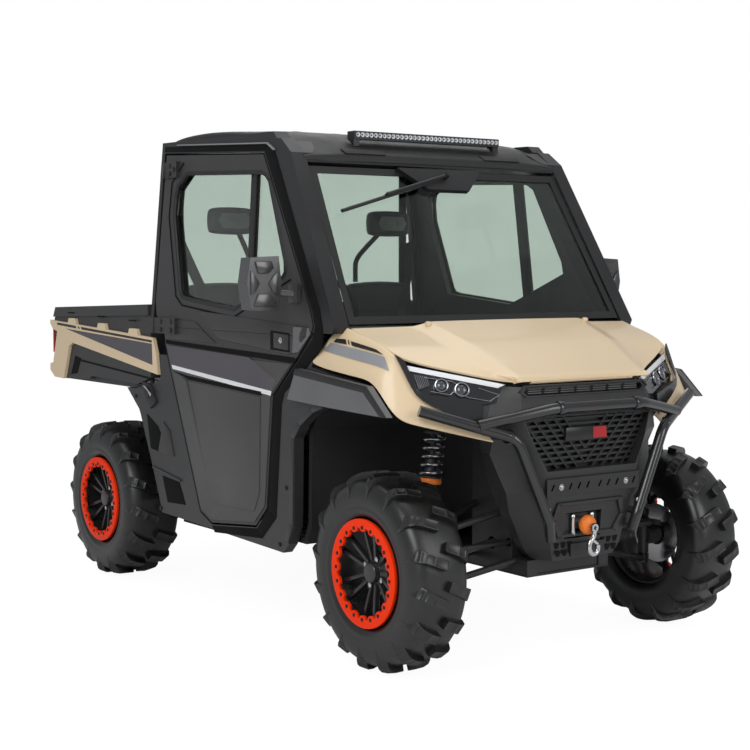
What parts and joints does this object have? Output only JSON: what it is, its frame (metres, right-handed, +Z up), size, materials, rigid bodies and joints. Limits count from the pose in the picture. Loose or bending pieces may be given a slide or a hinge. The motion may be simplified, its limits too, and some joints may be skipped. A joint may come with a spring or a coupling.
{
  "type": "side by side utility vehicle",
  "caption": "Two-door closed-cab utility vehicle with steered front wheels, a tipping cargo bed, a tailgate, a front bumper and a winch.",
  "frame": {"origin": "on the ground under the middle of the vehicle", "axes": "+X forward, +Y to the vehicle's left, +Z up"},
  "size_m": [2.98, 1.796, 1.8939],
  "materials": {
    "tan_body": "gloss",
    "black_plastic": "satin",
    "grey_plastic": "satin",
    "black_steel": "satin",
    "frame_steel": "satin",
    "bare_metal": "satin",
    "clear_glass": "gloss",
    "lamp": "gloss",
    "red_lamp": "gloss",
    "seat_cover": "matte",
    "tyre_rubber": "matte",
    "wheel_metal": "satin",
    "rubber_trim": "matte"
  },
  "bodies": {
    "chassis": {"main_frame": "frame_steel", "underbody_skid": "black_plastic", "door_surrounds": "black_plastic", "engine_block": "bare_metal", "rear_hitch": "black_steel", "cab_tub": "black_plastic", "dashboard": "black_plastic", "seat_cushions": "seat_cover", "seat_backs": "seat_cover", "headrests": "seat_cover", "cab_frame": "black_steel", "roof_shell": "black_plastic", "light_bar": "bare_metal", "windscreen": "clear_glass", "rear_glass": "clear_glass", "wiper": "black_plastic", "side_panels": "grey_plastic", "fender_liners": "black_plastic", "fender_flares": "grey_plastic", "cowl_sides": "tan_body", "cowl_panel": "black_plastic", "front_fascia": "grey_plastic", "grille": "black_plastic", "headlamps": "lamp", "front_bumper": "black_steel", "bumper_skid": "black_steel", "winch": "bare_metal", "suspension_arms": "black_steel", "shocks": "black_steel", "axle_drives": "bare_metal", "knuckle_rear_right": "bare_metal", "knuckle_rear_left": "bare_metal", "steering_column": "black_plastic"},
    "door_right": {"door_right_shell": "grey_plastic", "door_right_glass": "clear_glass", "door_right_mirror": "black_plastic"},
    "door_left": {"door_left_shell": "grey_plastic", "door_left_glass": "clear_glass", "door_left_mirror": "black_plastic"},
    "hood": {"hood": "tan_body"},
    "bed": {"bed_box": "black_plastic", "bed_trims": "tan_body", "tail_lamps": "red_lamp"},
    "tailgate": {"tailgate": "black_plastic"},
    "steering_wheel": {"steering_wheel": "rubber_trim"},
    "steering_rack": {"steering_rack": "black_steel"},
    "knuckle_right": {"knuckle_front_right": "bare_metal"},
    "knuckle_left": {"knuckle_front_left": "bare_metal"},
    "wheel_front_right": {"tyre_front_right": "tyre_rubber", "rim_front_right": "wheel_metal"},
    "wheel_front_left": {"tyre_front_left": "tyre_rubber", "rim_front_left": "wheel_metal"},
    "wheel_rear_right": {"tyre_rear_right": "tyre_rubber", "rim_rear_right": "wheel_metal"},
    "wheel_rear_left": {"tyre_rear_left": "tyre_rubber", "rim_rear_left": "wheel_metal"}
  },
  "joints": [
    {"name": "door_right_hinge", "type": "hinge", "parent": "chassis", "child": "door_right", "pos_m": [-0.402, -0.6997, 1.436], "axis": [0, 0.0878, 0.9961], "range_deg": [-80, 0]},
    {"name": "door_left_hinge", "type": "hinge", "parent": "chassis", "child": "door_left", "pos_m": [-0.402, 0.6997, 1.436], "axis": [0, -0.0878, 0.9961], "range_deg": [0, 80]},
    {"name": "hood_hinge", "type": "hinge", "parent": "chassis", "child": "hood", "pos_m": [1.385, 0, 0.972], "axis": [0, 1, 0], "range_deg": [0, 55]},
    {"name": "bed_tilt", "type": "hinge", "parent": "chassis", "child": "bed", "pos_m": [-1.205, 0, 0.74], "axis": [0, 1, 0], "range_deg": [-40, 0]},
    {"name": "tailgate_hinge", "type": "hinge", "parent": "bed", "child": "tailgate", "pos_m": [-1.474, 0, 0.854], "axis": [0, 1, 0], "range_deg": [-90, 0]},
    {"name": "steer_right", "type": "hinge", "parent": "chassis", "child": "knuckle_right", "pos_m": [1.135, -0.56, 0.34], "axis": [0, 0, 1], "range_deg": [-30, 30]},
    {"name": "steer_left", "type": "hinge", "parent": "chassis", "child": "knuckle_left", "pos_m": [1.135, 0.56, 0.34], "axis": [0, 0, 1], "range_deg": [-30, 30]},
    {"name": "steering_wheel_turn", "type": "hinge", "parent": "chassis", "child": "steering_wheel", "pos_m": [0.33, -0.4, 1.135], "axis": [-0.9274, 0, 0.374], "range_deg": [-270, 270]},
    {"name": "rack_slide", "type": "slide", "parent": "chassis", "child": "steering_rack", "axis": [0, 1, 0], "range_m": [-0.055, 0.055]},
    {"name": "wheel_front_right_spin", "type": "hinge", "parent": "knuckle_right", "child": "wheel_front_right", "pos_m": [1.135, -0.64, 0.34], "axis": [0, 1, 0], "continuous": true},
    {"name": "wheel_front_left_spin", "type": "hinge", "parent": "knuckle_left", "child": "wheel_front_left", "pos_m": [1.135, 0.64, 0.34], "axis": [0, 1, 0], "continuous": true},
    {"name": "wheel_rear_right_spin", "type": "hinge", "parent": "chassis", "child": "wheel_rear_right", "pos_m": [-0.895, -0.64, 0.34], "axis": [0, 1, 0], "continuous": true},
    {"name": "wheel_rear_left_spin", "type": "hinge", "parent": "chassis", "child": "wheel_rear_left", "pos_m": [-0.895, 0.64, 0.34], "axis": [0, 1, 0], "continuous": true}
  ],
  "couplings": [
    {"joint": "steer_left", "follows": "steer_right", "ratio": 1},
    {"joint": "steering_wheel_turn", "follows": "steer_right", "ratio": 9},
    {"joint": "rack_slide", "follows": "steer_right", "m_per_rad": 0.092}
  ]
}
